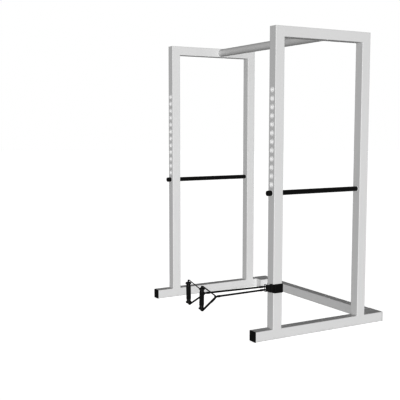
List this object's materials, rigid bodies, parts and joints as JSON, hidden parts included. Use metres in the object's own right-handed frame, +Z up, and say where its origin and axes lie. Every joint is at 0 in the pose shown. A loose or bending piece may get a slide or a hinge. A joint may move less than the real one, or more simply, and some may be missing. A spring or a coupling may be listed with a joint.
{
  "type": "power rack with resistance-tube row set",
  "caption": "Free-standing square-tube power rack with pull-up bar and safety bars; an anchor strap on one upright holds two resistance tubes with stirrup handles for a seated row.",
  "frame": {"origin": "on the floor under the middle of the whole box: X midway between the side frames, Y midway between the held-out handles and the rear bolt heads", "axes": "+Z up, +Y from the front of the rack to its rear, +X to the right for a person standing in front and looking at the rack"},
  "size_m": [1.6163, 1.6569, 2.2],
  "materials": {
    "frame_paint": "satin light grey powder coat",
    "bar_paint": "satin light grey powder coat, worn a little where hands grip",
    "cap_plastic": "fine-grained black moulded plastic",
    "liner_plastic": "pale moulded nylon",
    "zinc_steel": "bright zinc plate",
    "webbing": "woven black nylon webbing",
    "black_steel": "black-coated steel wire",
    "bar_black": "semi-gloss black powder coat",
    "knob_rubber": "matt black rubber",
    "sleeve_rubber": "moulded black rubber",
    "tube_latex": "smooth black latex with a slight sheen",
    "grip_foam": "closed-cell black foam"
  },
  "bodies": {
    "frame": {"base_rail_left": "frame_paint", "front_upright_left": "frame_paint", "rear_upright_left": "frame_paint", "top_rail_left": "frame_paint", "corner_block_left": "frame_paint", "corner_plate_left": "frame_paint", "cross_spigot_left": "frame_paint", "base_cap_front_left": "cap_plastic", "base_cap_rear_left": "cap_plastic", "corner_cap_left": "cap_plastic", "hole_liners_left": "liner_plastic", "rear_socket_left": "liner_plastic", "bar_spigot_left": "frame_paint", "base_rail_right": "frame_paint", "front_upright_right": "frame_paint", "rear_upright_right": "frame_paint", "top_rail_right": "frame_paint", "corner_block_right": "frame_paint", "corner_plate_right": "frame_paint", "cross_spigot_right": "frame_paint", "base_cap_front_right": "cap_plastic", "base_cap_rear_right": "cap_plastic", "corner_cap_right": "cap_plastic", "hole_liners_right": "liner_plastic", "rear_socket_right": "liner_plastic", "bar_spigot_right": "frame_paint", "rear_cross_member": "frame_paint", "pull_up_bar": "bar_paint", "cross_bolts": "zinc_steel", "cross_nuts": "zinc_steel", "bar_set_screws": "zinc_steel", "anchor_strap": "webbing", "anchor_tail": "webbing", "anchor_fold": "webbing", "anchor_ring": "black_steel"},
    "safety_bar_left": {"safety_bar_left": "bar_black", "safety_knob_left": "knob_rubber", "safety_plug_left": "cap_plastic"},
    "safety_bar_right": {"safety_bar_right": "bar_black", "safety_knob_right": "knob_rubber", "safety_plug_right": "cap_plastic"},
    "tube_left": {"tube_eye_left": "sleeve_rubber", "resistance_tube_left": "tube_latex"},
    "handle_left": {"handle_sleeve_left": "sleeve_rubber", "handle_link_left": "black_steel", "handle_strap_left": "webbing"},
    "grip_left": {"grip_core_left": "cap_plastic", "grip_knob_top_left": "cap_plastic", "grip_knob_bottom_left": "cap_plastic", "grip_foam_left": "grip_foam"},
    "tube_right": {"tube_eye_right": "sleeve_rubber", "resistance_tube_right": "tube_latex"},
    "handle_right": {"handle_sleeve_right": "sleeve_rubber", "handle_link_right": "black_steel", "handle_strap_right": "webbing"},
    "grip_right": {"grip_core_right": "cap_plastic", "grip_knob_top_right": "cap_plastic", "grip_knob_bottom_right": "cap_plastic", "grip_foam_right": "grip_foam"}
  },
  "joints": [
    {"name": "safety_bar_left_slide", "type": "slide", "parent": "frame", "child": "safety_bar_left", "axis": [0, -1, 0], "range_m": [0, 0.9]},
    {"name": "safety_bar_right_slide", "type": "slide", "parent": "frame", "child": "safety_bar_right", "axis": [0, -1, 0], "range_m": [0, 0.9]},
    {"name": "tube_left_swing", "type": "hinge", "parent": "frame", "child": "tube_left", "pos_m": [0.7161, -0.22975, 0.37], "axis": [0, 0, 1], "range_deg": [-35, 0]},
    {"name": "handle_left_pull", "type": "slide", "parent": "tube_left", "child": "handle_left", "axis": [-0.1305, -0.9913, -0.016], "range_m": [-0.12, 0.4], "deforming": ["resistance_tube_left"]},
    {"name": "grip_left_spin", "type": "hinge", "parent": "handle_left", "child": "grip_left", "pos_m": [0.63995, -0.80801, 0.37716], "axis": [-0.0021, -0.0159, 0.9999], "continuous": true},
    {"name": "tube_right_swing", "type": "hinge", "parent": "frame", "child": "tube_right", "pos_m": [0.7161, -0.22975, 0.3472], "axis": [0, 0, 1], "range_deg": [0, 35]},
    {"name": "handle_right_pull", "type": "slide", "parent": "tube_right", "child": "handle_right", "axis": [0.1168, -0.9928, 0.0248], "range_m": [-0.12, 0.4], "deforming": ["resistance_tube_right"]},
    {"name": "grip_right_spin", "type": "hinge", "parent": "handle_right", "child": "grip_right", "pos_m": [0.78144, -0.78493, 0.36105], "axis": [-0.0029, 0.0246, 0.9997], "continuous": true}
  ]
}
